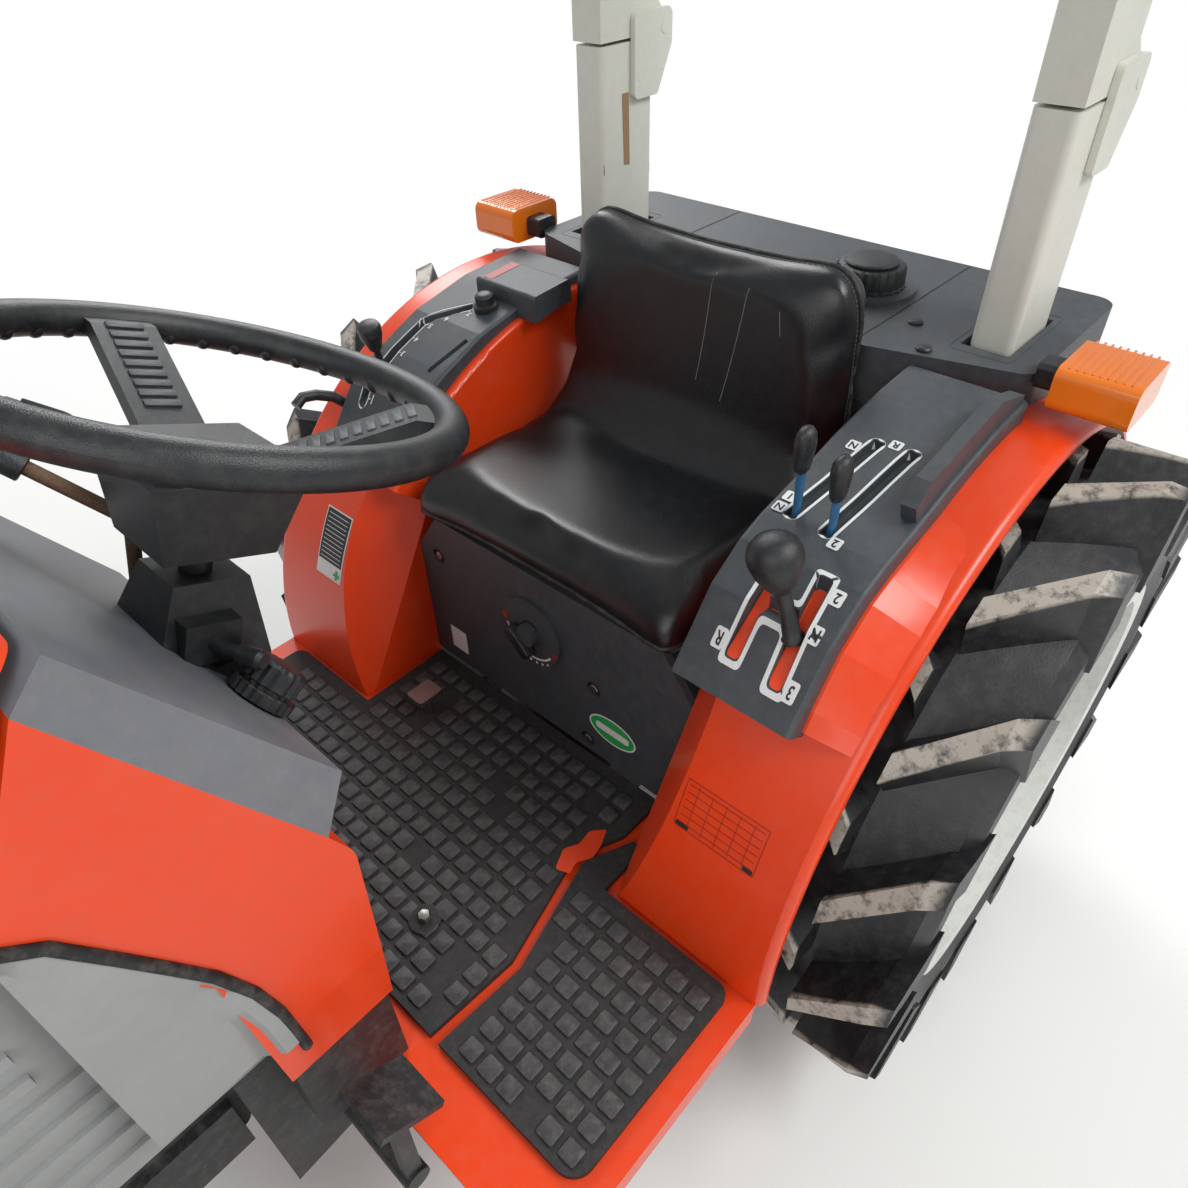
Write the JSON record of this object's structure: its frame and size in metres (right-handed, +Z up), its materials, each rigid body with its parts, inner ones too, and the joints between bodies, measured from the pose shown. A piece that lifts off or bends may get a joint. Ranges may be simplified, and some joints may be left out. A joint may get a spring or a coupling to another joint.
{
  "type": "farm tractor",
  "caption": "Compact four-wheel-drive farm tractor with open station, folding rollover hoop, lugged tyres and rear three-point linkage.",
  "frame": {"origin": "on the ground under the middle of the tractor's overall box", "axes": "+X points forward, +Y to the driver's left, +Z up"},
  "size_m": [2.43, 1.118, 1.9894],
  "materials": {
    "amber": "amber lens",
    "axle_grey": "dark grey paint",
    "bar_white": "off-white paint",
    "black_plastic": "grained",
    "blue": "blue paint and black grips",
    "console_grey": "grained",
    "cover_grey": "light grey paint",
    "dark_paint": "black paint",
    "dash_grey": "grained grey",
    "lens": "clear lens",
    "mat": "worn black rubber",
    "orange": "gloss orange paint",
    "rim": "off-white paint",
    "rusty_steel": "rusty",
    "steel": "bare steel",
    "tyre": "matte",
    "vinyl": "semi-gloss black vinyl"
  },
  "bodies": {
    "chassis": {"column_cover": "black_plastic", "console_left": "console_grey", "console_right": "console_grey", "cowl": "orange", "cowl_foot": "dark_paint", "dash_knob": "black_plastic", "dash_panel": "dash_grey", "drawbar": "dark_paint", "drive_shaft_tube": "dark_paint", "engine_block": "axle_grey", "fender_left": "orange", "fender_right": "orange", "floor": "orange", "floor_mat": "mat", "foot_pedals": "dark_paint", "front_axle_beam": "axle_grey", "front_frame": "dark_paint", "fuel_cap": "black_plastic", "gearbox_case": "axle_grey", "lamp_stalks": "black_plastic", "lift_lever": "black_plastic", "lift_shaft_brackets": "axle_grey", "link_pins": "steel", "lock_pedal": "steel", "main_shift_lever": "black_plastic", "pto_shaft": "steel", "range_levers": "blue", "rear_axle_tubes": "axle_grey", "rear_cover": "console_grey", "rops_posts": "bar_white", "seat": "vinyl", "seat_pillar": "dark_paint", "side_covers": "cover_grey", "throttle_lever": "rusty_steel", "top_link_bracket": "axle_grey", "turn_signals": "amber", "under_seat_panel": "console_grey"},
    "wheel_rear_left": {"rear_tyre_left": "tyre", "rear_rim_left": "rim"},
    "wheel_rear_right": {"rear_tyre_right": "tyre", "rear_rim_right": "rim"},
    "wheel_front_left": {"front_tyre_left": "tyre", "front_rim_left": "rim"},
    "wheel_front_right": {"front_tyre_right": "tyre", "front_rim_right": "rim"},
    "steering_left": {"knuckle_left": "axle_grey"},
    "steering_right": {"knuckle_right": "axle_grey"},
    "tie_rod": {"tie_rod": "steel"},
    "steering_wheel": {"steering_wheel": "black_plastic"},
    "hood": {"hood_shell": "orange", "front_grille": "black_plastic", "headlamps": "lens"},
    "folding_hoop": {"rops_hoop": "bar_white"},
    "lower_links": {"lower_links": "dark_paint"},
    "lift_arms": {"lift_arms": "dark_paint"},
    "lift_rods": {"lift_rods": "dark_paint"}
  },
  "joints": [
    {"name": "rear_wheel_left", "type": "hinge", "parent": "chassis", "child": "wheel_rear_left", "pos_m": [-0.555, 0.455, 0.44], "axis": [0, 1, 0], "continuous": true},
    {"name": "kingpin_left", "type": "hinge", "parent": "chassis", "child": "steering_left", "pos_m": [0.865, 0.285, 0.29], "axis": [0, 0, 1], "range_deg": [-38, 38]},
    {"name": "front_wheel_left", "type": "hinge", "parent": "steering_left", "child": "wheel_front_left", "pos_m": [0.865, 0.405, 0.29], "axis": [0, 1, 0], "continuous": true},
    {"name": "rear_wheel_right", "type": "hinge", "parent": "chassis", "child": "wheel_rear_right", "pos_m": [-0.555, -0.455, 0.44], "axis": [0, 1, 0], "continuous": true},
    {"name": "kingpin_right", "type": "hinge", "parent": "chassis", "child": "steering_right", "pos_m": [0.865, -0.285, 0.29], "axis": [0, 0, 1], "range_deg": [-38, 38]},
    {"name": "front_wheel_right", "type": "hinge", "parent": "steering_right", "child": "wheel_front_right", "pos_m": [0.865, -0.405, 0.29], "axis": [0, 1, 0], "continuous": true},
    {"name": "tie_rod_pin", "type": "hinge", "parent": "steering_left", "child": "tie_rod", "pos_m": [0.735, 0.285, 0.225], "axis": [0, 0, 1], "range_deg": [-38, 38]},
    {"name": "steering_shaft", "type": "hinge", "parent": "chassis", "child": "steering_wheel", "pos_m": [0.183, 0, 0.89], "axis": [-0.3827, 0, 0.9239], "range_deg": [-456, 456]},
    {"name": "hood_hinge", "type": "hinge", "parent": "chassis", "child": "hood", "pos_m": [0.308, 0, 1.066], "axis": [0, -1, 0], "range_deg": [0, 60]},
    {"name": "hoop_fold", "type": "hinge", "parent": "chassis", "child": "folding_hoop", "pos_m": [-0.779, 0, 1.19], "axis": [0, -1, 0], "range_deg": [0, 100]},
    {"name": "lower_link_pivot", "type": "hinge", "parent": "chassis", "child": "lower_links", "pos_m": [-0.65, 0, 0.33], "axis": [0, 1, 0], "range_deg": [-15, 24]},
    {"name": "lift_arm_shaft", "type": "hinge", "parent": "chassis", "child": "lift_arms", "pos_m": [-0.65, 0, 0.632], "axis": [0, 1, 0], "range_deg": [-15, 24]},
    {"name": "lift_rod_pin", "type": "hinge", "parent": "lift_arms", "child": "lift_rods", "pos_m": [-0.885, 0, 0.632], "axis": [0, 1, 0], "range_deg": [-24, 15]}
  ],
  "couplings": [
    {"joint": "kingpin_right", "follows": "kingpin_left", "ratio": 1},
    {"joint": "tie_rod_pin", "follows": "kingpin_left", "ratio": -1},
    {"joint": "steering_shaft", "follows": "kingpin_left", "ratio": 12},
    {"joint": "lift_arm_shaft", "follows": "lower_link_pivot", "ratio": 1},
    {"joint": "lift_rod_pin", "follows": "lower_link_pivot", "ratio": -1}
  ]
}
